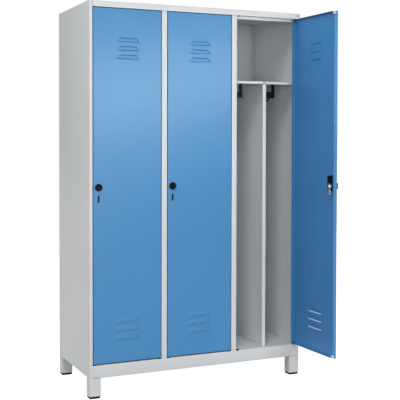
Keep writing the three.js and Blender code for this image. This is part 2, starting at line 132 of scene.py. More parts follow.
def shaded(nodes, links, tone):
    """tone, darkened in narrow gaps, which hardly any light reaches."""
    node = nodes.new("ShaderNodeAmbientOcclusion")
    node.samples = 6
    node.inputs["Distance"].default_value = GAP_REACH
    shade = ramp(nodes, links, node.outputs["AO"], GAP_SHADE)
    product = nodes.new("ShaderNodeMix")
    product.data_type = "RGBA"
    product.blend_type = "MULTIPLY"
    product.inputs["Factor"].default_value = 1.0
    links.new(tone, product.inputs["A"])
    links.new(shade, product.inputs["B"])
    return product.outputs["Result"]


def powder_coat(name, colour, roughness, sheen=(1, 1, 1)):
    """Satin powder coat: a fine orange peel, an even finer grain in its gloss, and slow drifts of tone."""
    material, nodes, links, shader = new_material(name)
    place = nodes.new("ShaderNodeTexCoord").outputs["Object"]
    drift = noise(nodes, links, place, scale=2.2, detail=3)
    stops = [(0.3, scaled(colour, 0.965)), (0.5, colour), (0.72, scaled(colour, 1.03))]
    tone = ramp(nodes, links, drift, stops)
    links.new(shaded(nodes, links, tone), shader.inputs["Base Color"])
    grain = noise(nodes, links, place, scale=900, detail=2)
    satin = spread(nodes, links, grain, roughness - 0.05, roughness + 0.05)
    links.new(satin, shader.inputs["Roughness"])
    peel = noise(nodes, links, place, scale=420, detail=1)
    wave = noise(nodes, links, place, scale=9, detail=1)
    bump(nodes, links, shader, [(wave, 0.6 * MM), (peel, 0.03 * MM)])
    shader.inputs["Specular IOR Level"].default_value = 0.5
    shader.inputs["Specular Tint"].default_value = (*sheen, 1)
    return material


def moulded_plastic(name, colour, roughness):
    """Moulded plastic: a fine grain, and a faint cloud in its tone."""
    material, nodes, links, shader = new_material(name)
    place = nodes.new("ShaderNodeTexCoord").outputs["Object"]
    cloud = noise(nodes, links, place, scale=60, detail=3)
    tone = ramp(nodes, links, cloud, [(0.3, scaled(colour, 0.8)), (0.7, scaled(colour, 1.25))])
    links.new(tone, shader.inputs["Base Color"])
    grain = noise(nodes, links, place, scale=1600, detail=2)
    matt = spread(nodes, links, grain, roughness - 0.06, roughness + 0.08)
    links.new(matt, shader.inputs["Roughness"])
    bump(nodes, links, shader, [(grain, 0.04 * MM)])
    shader.inputs["Specular IOR Level"].default_value = 0.12
    return material


def zinc_plate(name):
    """Bright zinc: metal with faint rolling marks and a patchy bloom."""
    material, nodes, links, shader = new_material(name)
    place = nodes.new("ShaderNodeTexCoord").outputs["Object"]
    stretch = nodes.new("ShaderNodeMapping")
    stretch.inputs["Scale"].default_value = (60, 60, 900)
    links.new(place, stretch.inputs["Vector"])
    marks = noise(nodes, links, stretch.outputs["Vector"], scale=1, detail=2)
    bloom = noise(nodes, links, place, scale=140, detail=3)
    dull, bright, warm = (0.60, 0.61, 0.64), (0.74, 0.75, 0.77), (0.78, 0.77, 0.73)
    tone = ramp(nodes, links, bloom, [(0.3, dull), (0.6, bright), (0.8, warm)])
    links.new(tone, shader.inputs["Base Color"])
    links.new(spread(nodes, links, marks, 0.2, 0.42), shader.inputs["Roughness"])
    bump(nodes, links, shader, [(marks, 0.02 * MM)])
    shader.inputs["Metallic"].default_value = 1.0
    return material


GREY = powder_coat("carcass_grey", (0.650, 0.670, 0.683), 0.42)
BLUE = powder_coat("door_blue", (0.055, 0.234, 0.512), 0.32, (0.74, 0.99, 1.0))
BLACK = moulded_plastic("black_plastic", (0.003, 0.003, 0.0035), 0.45)
RUBBER = moulded_plastic("foot_black", (0.003, 0.003, 0.003), 0.6)
ZINC = zinc_plate("zinc_steel")
NYLON = moulded_plastic("pale_nylon", (0.62, 0.66, 0.68), 0.4)
LOOKS = {
    "carcass_grey": GREY,
    "door_blue": BLUE,
    "black_plastic": BLACK,
    "foot_black": RUBBER,
    "zinc_steel": ZINC,
}


# Mesh work: an outline lies in (u, v), and along_x, along_y and along_z put it across an axis, at w along it

SMOOTH_ANGLE = math.radians(38)
BEVEL_ANGLE = math.radians(50)


def along_x(u, v, w):
    return Vector((w, u, v))


def along_y(u, v, w):
    return Vector((u, w, v))


def along_z(u, v, w):
    return Vector((u, v, w))


def sheet_sides(path, bend):
    """Both faces of a sheet that follows a flat path along its middle, with a round bend at each corner."""
    points = [Vector(p) for p in path]
    pairs = []

    def put(point, direction):
        aside = Vector((-direction.y, direction.x)) * HALF
        pairs.append((point + aside, point - aside))

    put(points[0], (points[1] - points[0]).normalized())
    for before, corner, after in zip(points, points[1:], points[2:]):
        into, out = (corner - before).normalized(), (after - corner).normalized()
        turn = math.atan2(into.x * out.y - into.y * out.x, into.dot(out))
        start = corner - into * bend * math.tan(abs(turn) / 2)
        arm = Vector((-into.y, into.x)) * math.copysign(bend, turn)
        for step in range(BEND_STEPS + 1):
            turned = Matrix.Rotation(turn * step / BEND_STEPS, 2)
            put(start + arm - turned @ arm, turned @ into)
    put(points[-1], (points[-1] - points[-2]).normalized())
    return pairs


def add_sheet(bm, path, span, place, bend=SHEET_BEND):
    """Adds a bent sheet, drawn out from span[0] to span[1] along the axis that place gives."""
    rings = []
    for near, far in sheet_sides(path, bend):
        ring = [place(near.x, near.y, span[0]), place(far.x, far.y, span[0])]
        ring += [place(far.x, far.y, span[1]), place(near.x, near.y, span[1])]
        rings.append([bm.verts.new(p) for p in ring])
    for a, b in zip(rings, rings[1:]):
        for i in range(4):
            bm.faces.new((a[i], a[(i + 1) % 4], b[(i + 1) % 4], b[i]))
    bm.faces.new(rings[0])
    bm.faces.new(reversed(rings[-1]))


def add_prism(bm, outline, span, place):
    """Adds an outline, drawn out from span[0] to span[1] along the axis that place gives."""
    ends = [[bm.verts.new(place(u, v, w)) for u, v in outline] for w in span]
    bm.faces.new(ends[0])
    bm.faces.new(reversed(ends[1]))
    count = len(outline)
    for i in range(count):
        j = (i + 1) % count
        bm.faces.new((ends[0][i], ends[0][j], ends[1][j], ends[1][i]))


def rectangle(x, y):
    return [(x[0], y[0]), (x[1], y[0]), (x[1], y[1]), (x[0], y[1])]


def add_box(bm, low, high):
    outline = rectangle((low[0], high[0]), (low[1], high[1]))
    add_prism(bm, outline, (low[2], high[2]), along_z)


def rounded_outline(corners, radius, steps=5):
    """The corners' outline, with each corner turned into an arc."""
    points = [Vector(c) for c in corners]
    result = []
    for i, corner in enumerate(points):
        into = (corner - points[i - 1]).normalized()
        out = (points[(i + 1) % len(points)] - corner).normalized()
        turn = math.atan2(into.x * out.y - into.y * out.x, into.dot(out))
        start = corner - into * radius * math.tan(abs(turn) / 2)
        arm = Vector((-into.y, into.x)) * math.copysign(radius, turn)
        for step in range(steps + 1):
            point = start + arm - Matrix.Rotation(turn * step / steps, 2) @ arm
            result.append((point.x, point.y))
    return result


def rounded_rectangle(x, y, radius, steps=5):
    return rounded_outline(rectangle(x, y), radius, steps)


def add_lathe(bm, profile, centre, place, segments):
    """Adds a turned solid, from (radius, height) pairs that start and end on the axis through centre."""
    rings = []
    for radius, height in profile:
        if radius == 0:
            rings.append([bm.verts.new(place(*centre, height))])
            continue
        turns = [2 * math.pi * i / segments for i in range(segments)]
        ring = [(centre[0] + radius * math.cos(t), centre[1] + radius * math.sin(t)) for t in turns]
        rings.append([bm.verts.new(place(u, v, height)) for u, v in ring])
    for a, b in zip(rings, rings[1:]):
        for i in range(segments):
            corners = [a[i % len(a)], a[(i + 1) % len(a)], b[(i + 1) % len(b)], b[i % len(b)]]
            bm.faces.new(list(dict.fromkeys(corners)))


def soft_profile(points, radius, steps=3):
    """A turned profile whose corners, apart from its two ends on the axis, are rounded."""
    result = [points[0]]
    for before, corner, after in zip(points, points[1:], points[2:]):
        a, b, c = Vector(before), Vector(corner), Vector(after)
        reach = min(radius, (b - a).length * 0.45, (c - b).length * 0.45)
        start, end = b + (a - b).normalized() * reach, b + (c - b).normalized() * reach
        for step in range(steps + 1):
            t = step / steps
            point = start * (1 - t) ** 2 + b * 2 * t * (1 - t) + end * t * t
            result.append((point.x, point.y))
    result.append(points[-1])
    return result


def make_piece(name, bm, nodes, place=None, bevel=0.0, closed=True, look=None):
    """Makes the mesh a piece that belongs to these CAD nodes: it takes the first one's body and slot."""
    if closed:
        bmesh.ops.recalc_face_normals(bm, faces=bm.faces)
    if place is not None:
        bmesh.ops.transform(bm, matrix=place, verts=bm.verts)
    mesh = bpy.data.meshes.new(name)
    bm.to_mesh(mesh)
    bm.free()
    mesh.shade_smooth()
    mesh.set_sharp_from_angle(angle=SMOOTH_ANGLE)
    piece = bpy.data.objects.new(name, mesh)
    bpy.context.scene.collection.objects.link(piece)
    mesh.materials.append(look or LOOKS[SLOT_OF[nodes[0]]])
    if bevel:
        add_bevel(piece, bevel)
    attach(piece, BODY_OF[nodes[0]])
    return piece


def stand_for(piece, *nodes):
    """Hides these CAD nodes in the render, where the piece takes their place; the piece argument is not used."""
    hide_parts(*nodes)


def add_bevel(piece, width):
    modifier = piece.modifiers.new("edge_break", "BEVEL")
    modifier.width = width
    modifier.segments = 2
    modifier.limit_method = "ANGLE"
    modifier.angle_limit = BEVEL_ANGLE


def build(name, node, draw, place=None, bevel=EDGE_BREAK):
    """Draws a mesh and makes it the piece that stands for one CAD node."""
    bm = bmesh.new()
    draw(bm)
    piece = make_piece(name, bm, [node], place, bevel)
    stand_for(piece, node)


# Carcass

def span_of(node, axis):
    low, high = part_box(node)
    return low[axis], high[axis]


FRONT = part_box("side_panel_left")[0].y
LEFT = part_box("side_panel_left")[0].x
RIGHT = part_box("side_panel_right")[1].x
POST_X = span_of("side_panel_left", 0)
RAIL_X = (POST_X[1] + FIT, LEFT + RIGHT - POST_X[1] - FIT)
RAIL_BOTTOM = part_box("top_panel")[1].z - 31 * MM
ROOF_JOIN = 22 * MM
DOOR_STOP = 23 * MM
BEHIND_RAIL = 24.5 * MM
RETURN_DEPTH = 21 * MM
REAR_FLANGE = 12 * MM
SILL_LIP = 30 * MM
PARTITION_FACE = 30 * MM
DIVIDER_FACE = 20 * MM
DIVIDER_RETURN = 12 * MM
SHELF_LIP = 12 * MM


def side_panel(node, outer, inward):
    """The side, with a post folded from its front edge and a flange along its back edge."""
    z = span_of(node, 2)
    y = span_of(node, 1)
    reach = POST_X[1] - POST_X[0]
    path = [
        (outer + inward * REAR_FLANGE, y[1] - HALF),
        (outer + inward * HALF, y[1] - HALF),
        (outer + inward * HALF, y[0] + HALF),
        (outer + inward * (reach - HALF), y[0] + HALF),
        (outer + inward * (reach - HALF), y[0] + RETURN_DEPTH),
    ]
    build(f"{node}_sheet", node, lambda bm: add_sheet(bm, path, z, along_z))


side_panel("side_panel_left", LEFT, 1)
side_panel("side_panel_right", RIGHT, -1)


def top_panel():
    """The roof, with the front rail and the doors' stop folded from its front edge."""
    node = "top_panel"
    low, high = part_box(node)
    join_y = low.y + ROOF_JOIN
    stop_y = low.y + DOOR_STOP + HALF
    roof = high.z - HALF
    front = [
        (stop_y, low.z),
        (stop_y, RAIL_BOTTOM + HALF),
        (low.y + HALF, RAIL_BOTTOM + HALF),
        (low.y + HALF, roof),
        (join_y, roof),
    ]
    rear_y = span_of("side_panel_left", 1)[1] - HALF
    rear = [(rear_y - REAR_FLANGE, roof - SHEET), (rear_y, roof - SHEET), (rear_y, RAIL_BOTTOM)]
    rear_x = (LEFT + REAR_FLANGE + MM, RIGHT - REAR_FLANGE - MM)

    def draw(bm):
        add_sheet(bm, front, RAIL_X, along_x)
        add_sheet(bm, [(join_y, roof), (high.y, roof)], (low.x, high.x), along_x)
        add_sheet(bm, rear, rear_x, along_x)
        for x in ((low.x, RAIL_X[0]), (RAIL_X[1], high.x)):
            add_sheet(bm, [(low.y, roof), (join_y, roof)], x, along_x)

    build(f"{node}_sheet", node, draw)


top_panel()


def bottom_panel():
    """The compartments' floor, with a rail folded from each long edge and a plate over each foot."""
    node = "bottom_panel"
    low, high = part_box(node)
    join_y = low.y + RETURN_DEPTH + FIT
    under, floor = low.z + HALF, high.z - HALF
    lip_y = (low.y + SILL_LIP, high.y - SILL_LIP)
    front = [(lip_y[0], under), (low.y + HALF, under), (low.y + HALF, floor), (join_y, floor)]
    rear = [(join_y, floor), (high.y - HALF, floor), (high.y - HALF, under), (lip_y[1], under)]

    def draw(bm):
        add_sheet(bm, front, RAIL_X, along_x, bend=BOTTOM_RAIL_BEND)
        add_sheet(bm, rear, (low.x, high.x), along_x)
        for foot in CORNERS:
            seat_low, seat_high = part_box(f"foot_{foot}")
            plate_y = (max(seat_low.y, lip_y[0]), min(seat_high.y, lip_y[1]))
            if plate_y[0] < plate_y[1]:
                x = (max(seat_low.x, RAIL_X[0]), min(seat_high.x, RAIL_X[1]))
                add_sheet(bm, [(plate_y[0], under), (plate_y[1], under)], x, along_x)

    build(f"{node}_sheet", node, draw)


bottom_panel()

build(
    "back_panel_sheet",
    "back_panel",
    lambda bm: add_box(bm, *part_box("back_panel")),
    bevel=0.4 * MM,
)


def channel_and_web(node, face, depth, top):
    """A folded channel as the front edge, and the sheet behind it with a flange at the back."""
    low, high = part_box(node)
    z = (low.z, top)
    middle = low.x + face / 2
    channel = [
        (middle - face / 2 + HALF, low.y + depth),
        (middle - face / 2 + HALF, low.y + HALF),
        (middle + face / 2 - HALF, low.y + HALF),
        (middle + face / 2 - HALF, low.y + depth),
    ]
    rear = high.y - HALF
    web = [(middle, low.y + SHEET), (middle, rear), (middle + REAR_FLANGE, rear)]

    def draw(bm):
        add_sheet(bm, channel, z, along_z)
        add_sheet(bm, web, z, along_z)
        if high.z > top + MM:
            rail_back, flange_front = low.y + BEHIND_RAIL, high.y - 2 * MM
            add_box(bm, (middle - HALF, rail_back, top), (middle + HALF, flange_front, high.z))

    build(f"{node}_sheet", node, draw)


for node in ("partition_1", "partition_2"):
    channel_and_web(node, PARTITION_FACE, RETURN_DEPTH, RAIL_BOTTOM - FIT)
for n in DOORS:
    divider_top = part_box(f"divider_{n}")[1].z
    channel_and_web(f"divider_{n}", DIVIDER_FACE, DIVIDER_RETURN, divider_top)


def hat_shelf(n):
    node = f"hat_shelf_{n}"
    low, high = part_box(node)
    path = [
        (low.y + SHELF_LIP, low.z + HALF),
        (low.y + HALF, low.z + HALF),
        (low.y + HALF, high.z - HALF),
        (high.y - HALF, high.z - HALF),
        (high.y - HALF, low.z),
    ]
    build(f"{node}_sheet", node, lambda bm: add_sheet(bm, path, (low.x, high.x), along_x))


def blind_rivet(bm, x, z, front):
    """The low round head of a rivet, on a face that looks to -Y at front."""
    crown, edge, rise = 3.2 * MM, 4.2 * MM, 0.7 * MM
    head = [(0, front - rise), (crown, front - rise), (edge, front), (0, front)]
    add_lathe(bm, soft_profile(head, 0.3 * MM), (x, z), along_y, 24)


def shelf_rivets(n):
    """Two black rivets hold the divider's top to the shelf's front lip."""
    low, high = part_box(f"hat_shelf_{n}")
    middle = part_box(f"divider_{n}")[0].x + DIVIDER_FACE / 2
    bm = bmesh.new()
    for x in (middle - 5.5 * MM, middle + 5.5 * MM):
        blind_rivet(bm, x, (low.z + high.z) / 2, low.y)
    make_piece(f"shelf_rivets_{n}", bm, [f"hole_cap_top_{n}"])


def rail_rivet():
    """One black rivet near the right-hand end of the front rail."""
    low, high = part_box("top_panel")
    bm = bmesh.new()
    blind_rivet(bm, high.x - 14 * MM, high.z - 13 * MM, low.y)
    make_piece("rail_rivet", bm, ["hole_cap_top_3"])


for n in DOORS:
    hat_shelf(n)
    shelf_rivets(n)
rail_rivet()


# Feet

SOLE = 11.5 * MM
FOOT_WALL = 2 * MM
PLUG_INSET = 0.4 * MM


def foot(corner):
    """A box-section tube, open at the bottom, where the glide closes it."""
    node = f"foot_{corner}"
    low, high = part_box(node)
    bottom = max(low.z, SOLE)
    inner_x = (low.x + FOOT_WALL, high.x - FOOT_WALL)
    inner_y = (low.y + FOOT_WALL, high.y - FOOT_WALL)
    outer = rounded_rectangle((low.x, high.x), (low.y, high.y), 2.5 * MM)
    inner = rounded_rectangle(inner_x, inner_y, 1 * MM)
    ceiling = high.z - FOOT_WALL

    def draw(bm):
        rings = []
        for outline, z in ((outer, bottom), (outer, high.z), (inner, ceiling), (inner, bottom)):
            rings.append([bm.verts.new((x, y, z)) for x, y in outline])
        count = len(outer)
        for a, b in ((0, 1), (2, 3), (3, 0)):
            for i in range(count):
                j = (i + 1) % count
                bm.faces.new((rings[a][i], rings[a][j], rings[b][j], rings[b][i]))
        bm.faces.new(rings[1])
        bm.faces.new(rings[2])

    build(f"{node}_tube", node, draw)


def glide(corner):
    """A moulded sole that shows below the tube, with a plug that fills the tube above it."""
    node = f"foot_glide_{corner}"
    low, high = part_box(node)
    sole_top = low.z + SOLE
    sole = rounded_rectangle((low.x, high.x), (low.y, high.y), 3 * MM)
    plug_x = (low.x + PLUG_INSET, high.x - PLUG_INSET)
    plug_y = (low.y + PLUG_INSET, high.y - PLUG_INSET)
    plug = rounded_rectangle(plug_x, plug_y, 1.2 * MM)

    def draw(bm):
        add_prism(bm, sole, (low.z, sole_top), along_z)
        add_prism(bm, plug, (sole_top, high.z), along_z)

    build(f"{node}_moulding", node, draw, bevel=0.8 * MM)


for corner in CORNERS:
    foot(corner)
    glide(corner)


# Hinge pins and the caps of the spare holes, as turned profiles above the lowest point of their CAD nodes

PIN_HEAD, PIN_SHANK, PIN_WASHER = 6 * MM, 3.7 * MM, 8.5 * MM
PIN_HEAD_HEIGHT = 3 * MM
CAP_BRIM = 9.5 * MM
CAP_CROWN = CAP_BRIM * 0.8
CAP_SEAT = 1.5 * MM


def top_pin(tall):
    """Hangs through the rail's lower sheet from its head, and ends inside the door's top."""
    tip, neck = 6 * MM, tall - PIN_HEAD_HEIGHT
    return [(0, tip), (PIN_SHANK, tip), (PIN_SHANK, neck), (PIN_HEAD, neck), (PIN_HEAD, tall), (0, tall)]


def bottom_pin(tall):
    """Stands up through the sill from its head, with a washer between the sill and the door."""
    tip = tall - 7 * MM
    washer_bottom, washer_top = tip - 8.1 * MM, tip - 3.3 * MM
    head = [(0, 0), (PIN_HEAD, 0), (PIN_HEAD, PIN_HEAD_HEIGHT), (PIN_SHANK, PIN_HEAD_HEIGHT)]
    washer = [
        (PIN_SHANK, washer_bottom),
        (PIN_WASHER, washer_bottom),
        (PIN_WASHER, washer_top),
        (PIN_SHANK, washer_top),
    ]
    return head + washer + [(PIN_SHANK, tip), (0, tip)]


def top_cap(tall):
    """Its head hangs below the rail."""
    crown = -1.1 * MM
    head = [(0, crown), (CAP_CROWN, crown), (CAP_BRIM, 0.3 * MM), (CAP_BRIM, CAP_SEAT)]
    return head + [(PIN_SHANK, CAP_SEAT), (PIN_SHANK, tall), (0, tall)]


def bottom_cap(tall):
    """Its head stands on the sill."""
    crown, seat = tall + 2.2 * MM, tall - CAP_SEAT
    head = [(CAP_BRIM, seat), (CAP_BRIM, tall + 1.2 * MM), (CAP_CROWN, crown), (0, crown)]
    return [(0, 0), (PIN_SHANK, 0), (PIN_SHANK, seat)] + head


def turned_piece(node, suffix, profile_of, bend):
    low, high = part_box(node)
    centre = ((low.x + high.x) / 2, (low.y + high.y) / 2)
    points = [(r, z + low.z) for r, z in profile_of(high.z - low.z)]

    def draw(bm):
        add_lathe(bm, soft_profile(points, bend), centre, along_z, 32)

    build(f"{node}_{suffix}", node, draw, bevel=0)


for n in DOORS:
    for end, pin, cap in (("top", top_pin, top_cap), ("bottom", bottom_pin, bottom_cap)):
        turned_piece(f"hinge_pin_{end}_{n}", "turned", pin, 0.5 * MM)
        turned_piece(f"hole_cap_{end}_{n}", "moulding", cap, 0.4 * MM)


# Coat hooks

FLANGE_X, FLANGE_Y, FLANGE_THICKNESS = 15 * MM, 12 * MM, 3 * MM
STEM_HALF, STEM_DROP = 7 * MM, 81 * MM
HOOK_HALF_DEPTH = 6 * MM
PADDLE_REACH, PADDLE_HEIGHT = 40 * MM, 33 * MM
ARM_RADIUS, BALL_RADIUS = 4 * MM, 6.5 * MM


def coat_hook(node):
    """A flange under the shelf, a stem with a paddle to its left, and an arm that ends in a ball."""
    low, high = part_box(node)
    middle = high.x - FLANGE_X
    y = (low.y + high.y) / 2
    depth = (y - HOOK_HALF_DEPTH, y + HOOK_HALF_DEPTH)
    top = high.z
    seat = top - FLANGE_THICKNESS
    foot_z = top - STEM_DROP
    flange_x = (middle - FLANGE_X, middle + FLANGE_X)
    flange = rounded_rectangle(flange_x, (y - FLANGE_Y, y + FLANGE_Y), 4 * MM)
    stem_x = (middle - STEM_HALF, middle + STEM_HALF)
    stem = rounded_rectangle(stem_x, (foot_z, seat), 2 * MM, 3)
    paddle_x = (middle - PADDLE_REACH, middle)
    paddle = rounded_rectangle(paddle_x, (foot_z, foot_z + PADDLE_HEIGHT), 4 * MM)
    brace = [(middle - 6 * MM, seat), (middle - 14 * MM, seat), (middle - 6 * MM, top - 20 * MM)]

    def draw(bm):
        add_prism(bm, flange, (seat, top), along_z)
        add_prism(bm, stem, depth, along_y)
        add_prism(bm, paddle, depth, along_y)
        add_prism(bm, brace, (y - 1.5 * MM, y + 1.5 * MM), along_y)

    build(f"{node}_moulding", node, draw, bevel=1.2 * MM)

    start = Vector((middle - 20 * MM, y, top - 76 * MM))
    end = Vector((low.x + BALL_RADIUS, y, top - 95 * MM))
    hook_arm(node, start, end)

    bm = bmesh.new()
    bmesh.ops.create_icosphere(bm, subdivisions=3, radius=BALL_RADIUS, matrix=Matrix.Translation(end))
    make_piece(f"{node}_ball", bm, [node])


def hook_arm(node, start, end):
    """A round rod that leaves start downwards and curves out to end."""
    arm = bpy.data.curves.new(f"{node}_arm_line", "CURVE")
    arm.dimensions = "3D"
    arm.bevel_depth = ARM_RADIUS
    arm.bevel_resolution = 5
    arm.use_fill_caps = True
    line = arm.splines.new("BEZIER")
    line.bezier_points.add(1)
    handles = (Vector((-1, 0, -7)), Vector((-6, 0, -4)))
    for point, place, handle in zip(line.bezier_points, (start, end), handles):
        point.co = place
        point.handle_left = place - handle * MM
        point.handle_right = place + handle * MM
    rod = bpy.data.objects.new(f"{node}_arm", arm)
    bpy.context.scene.collection.objects.link(rod)
    arm.materials.append(BLACK)
    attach(rod, BODY_OF[node])


for n in DOORS:
    for side in ("left", "right"):
        coat_hook(f"coat_hook_{n}_{side}")


# Doors, each drawn in its own frame: the hinge's axis is at X = 0, Y = 0, the door reaches towards -X, its
# outer face looks to -Y, and its bottom is at Z = 0

OUTER = -8 * MM
RIM = 12 * MM
HINGE_EDGE = 8 * MM
LIP = 8 * MM
NOTCH = 22 * MM
RELIEF_HALF = 72 * MM
WELD = 0.001 * MM
BUFFER_DEPTH = 7.5 * MM
BUFFER_WIDTH = 16 * MM
BUFFER_HEIGHT = 15 * MM

# Louvres: levels of the open edges, widths at the closed and the open edge, and the mesh that follows them
LOUVRES = [level * MM for level in (1586, 1544, 1502, 200, 158, 116)]
LOUVRE_HEIGHT = 21 * MM
LOUVRE_TOP_HALF, LOUVRE_BASE_HALF = 44.5 * MM, 62.5 * MM
LOUVRE_DEPTH = 4.9 * MM
LOUVRE_ROWS = (0, 0.05, 0.1, 0.16, 0.22, 0.29, 0.37, 0.5, 0.65, 0.8, 0.93, 1)
HALF_COLUMNS = (0, 0.14, 0.28, 0.4, 0.48, 0.52, 0.62, 0.72, 0.8, 0.85, 0.88, 0.91, 0.94, 0.97, 1, 1.03)
COLUMNS = tuple(-u for u in reversed(HALF_COLUMNS[1:])) + HALF_COLUMNS

# The shallow recess for a name card, above the upper louvres
CARD_TOP, CARD_BOTTOM = 1671 * MM, 1628 * MM
CARD_SLOPE = 1.2 * MM
CARD_RECESS = 0.35 * MM
CARD_HALF = 58 * MM
GUARD = 1.5 * MM


def eased(t):
    t = min(max(t, 0.0), 1.0)
    return t * t * (3 - 2 * t)


def hood(u, v):
    """How far a louvre's hood stands out at u across it and v down it."""
    rise = 0.95 * eased(v / 0.38) + 0.05 * v
    return LOUVRE_DEPTH * rise * eased((1 - abs(u)) / 0.15)


def card_recess(u):
    return -CARD_RECESS if abs(u) < 0.5 else 0.0


def flat(u):
    return 0.0


def card_rows():
    """The rows round the card's recess, whose upper and lower edges are short slopes."""
    top, bottom, slope = CARD_TOP, CARD_BOTTOM, CARD_SLOPE
    rows = [
        (top + slope + GUARD, flat),
        (top + slope, flat),
        (top - slope, card_recess),
        (top - slope - GUARD, card_recess),
        (bottom + slope + GUARD, card_recess),
        (bottom + slope, card_recess),
        (bottom - slope, flat),
        (bottom - slope - GUARD, flat),
    ]
    return [(z, CARD_HALF, relief) for z, relief in rows]


def louvre_rows(level):
    """The rows down one louvre's hood, which ends at its open edge."""
    rows = [(level + LOUVRE_HEIGHT + GUARD, LOUVRE_TOP_HALF, flat)]
    for v in LOUVRE_ROWS:
        half = LOUVRE_TOP_HALF + (LOUVRE_BASE_HALF - LOUVRE_TOP_HALF) * v
        rows.append((level + LOUVRE_HEIGHT * (1 - v), half, lambda u, v=v: hood(u, v)))
    return rows


def door_rows(height):
    """The face's (z, half width, relief) rows, in strips that part at the louvres' open edges."""
    strips = []
    strip = [(z, CARD_HALF, flat) for z in (height, height - DOOR_BEND, height - NOTCH)] + card_rows()
    for level in LOUVRES:
        strips.append(strip + louvre_rows(level))
        strip = [(level, LOUVRE_BASE_HALF, flat), (level - GUARD, LOUVRE_BASE_HALF, flat)]
    strip += [(z, LOUVRE_BASE_HALF, flat) for z in (NOTCH, DOOR_BEND, 0)]
    return strips + [strip]


def bend_points(corner, start, end):
    """Points round a bend of the door's sheet between two directions, given as angles in quarter turns."""
    points = []
    for step in range(BEND_STEPS + 1):
        angle = math.pi / 2 * (start + (end - start) * step / BEND_STEPS)
        points.append((corner[0] + DOOR_BEND * math.cos(angle), corner[1] + DOOR_BEND * math.sin(angle)))
    return points


def door_pan(width, height):
    """The door's outer skin: a face with louvres, four flanges, and a lip along each upright edge."""
    bm = bmesh.new()
    free = HINGE_EDGE - width
    middle = HINGE_EDGE - width / 2
    bend = DOOR_BEND
    hinge_lip = [(HINGE_EDGE - LIP, RIM)] + bend_points((HINGE_EDGE - bend, RIM - bend), 1, 0)
    hinge_bend = bend_points((HINGE_EDGE - bend, OUTER + bend), 0, -1)
    free_bend = bend_points((free + bend, OUTER + bend), -1, -2)
    free_lip = [(free, RIM - BUFFER_DEPTH)] + bend_points((free + bend, RIM - bend), -2, -3)
    free_lip.append((free + LIP, RIM))
    inner = [HINGE_EDGE - bend - MM, middle + RELIEF_HALF]
    outer = [middle - RELIEF_HALF, free + NOTCH]

    def face_line(z, half, relief):
        """One row of points, from the hinge lip round the face to the free lip."""
        points = hinge_lip + hinge_bend
        points += [(x, OUTER) for x in inner]
        points += [(middle - u * half, OUTER - relief(u)) for u in COLUMNS]
        points += [(x, OUTER) for x in outer]
        points += free_bend + free_lip
        return [Vector((x, y, z)) for x, y in points]

    lip_cells = len(hinge_lip) - 1
    first = len(hinge_lip) + len(hinge_bend)
    last = first + len(inner) + len(COLUMNS) + len(outer) - 1
    free_lip_start = last + 1 + len(free_bend)

    def fill(lines, keep):
        rows = [[bm.verts.new(p) for p in line] for line in lines]
        for j, (a, b) in enumerate(zip(rows, rows[1:])):
            for i in range(len(a) - 1):
                if keep(i, j):
                    bm.faces.new((a[i], a[i + 1], b[i + 1], b[i]))

    def within(strip, j, margin):
        above, below = strip[j][0], strip[j + 1][0]
        return below >= margin - WELD and above <= height - margin + WELD

    for strip in door_rows(height):

        def keep(i, j):
            """The lips stop at the notches, and the face stops at the top and bottom flanges' bends."""
            if i < lip_cells or i >= free_lip_start:
                return within(strip, j, NOTCH)
            return within(strip, j, bend) if first <= i < last else True

        fill([face_line(*row) for row in strip], keep)

    turn = bend_points((bend, OUTER + bend), -1, -2)
    flange = [(y, z) for z, y in turn] + [(RIM, 0)]
    upside_down = [(y, height - z) for y, z in reversed(flange)]
    for half, profile in ((LOUVRE_BASE_HALF, flange), (CARD_HALF, upside_down)):
        across = [p.x for p in face_line(0, half, flat)[first : last + 1]]
        fill([[Vector((x, y, z)) for x in across] for y, z in profile], lambda i, j: True)

    bmesh.ops.remove_doubles(bm, verts=bm.verts, dist=WELD)
    return bm


def door_place(n):
    joint = JOINTS[f"door_{n}_hinge"]
    angle = -math.radians(joint["range_deg"][0])
    return Matrix.Translation(joint["pos_m"]) @ Matrix.Rotation(angle, 4, "Z")


def local_box(node, place):
    """A node's box in the door's own frame."""
    back = place.inverted()
    points = [back @ v.co for v in frame["nodes"][node].data.vertices]
    return [Vector([pick(p[i] for p in points) for i in range(3)]) for pick in (min, max)]


def corner_buffer(n, end, free, z, place):
    """A pale plastic buffer clipped into the notch of the pan's corner: a head, and a stem behind it."""
    bm = bmesh.new()
    head_y = (RIM - BUFFER_DEPTH + FIT, RIM)
    head = rounded_rectangle((free, free + BUFFER_WIDTH), head_y, 1.5 * MM)
    add_prism(bm, head, (z, z + BUFFER_HEIGHT), along_z)
    stem_x = (free + DOOR_SHEET + FIT, free + BUFFER_WIDTH - 3 * MM)
    stem_y = (OUTER + DOOR_SHEET + 0.2 * MM, RIM - BUFFER_DEPTH + MM)
    stem = rounded_rectangle(stem_x, stem_y, 1 * MM)
    add_prism(bm, stem, (z + 2 * MM, z + BUFFER_HEIGHT - 2 * MM), along_z)
    make_piece(f"corner_buffer_{n}_{end}", bm, [f"door_{n}"], place, 0.6 * MM, look=NYLON)


def door(n):
    """The pan, given its sheet's thickness, and the buffers at its free corners."""
    node = f"door_{n}"
    place = door_place(n)
    low, high = local_box(node, place)
    pan = door_pan(high.x - low.x, high.z - low.z)
    piece = make_piece(f"{node}_pan", pan, [node], place, closed=False)
    sheet = piece.modifiers.new("sheet", "SOLIDIFY")
    sheet.thickness = DOOR_SHEET
    sheet.offset = -1
    sheet.use_even_offset = True
    sheet.use_quality_normals = True
    normals = piece.modifiers.new("even_shading", "WEIGHTED_NORMAL")
    normals.keep_sharp = True
    stand_for(piece, node)
    for end, z in (("bottom", MM), ("top", high.z - MM - BUFFER_HEIGHT)):
        corner_buffer(n, end, low.x, z, place)


for n in DOORS:
    door(n)


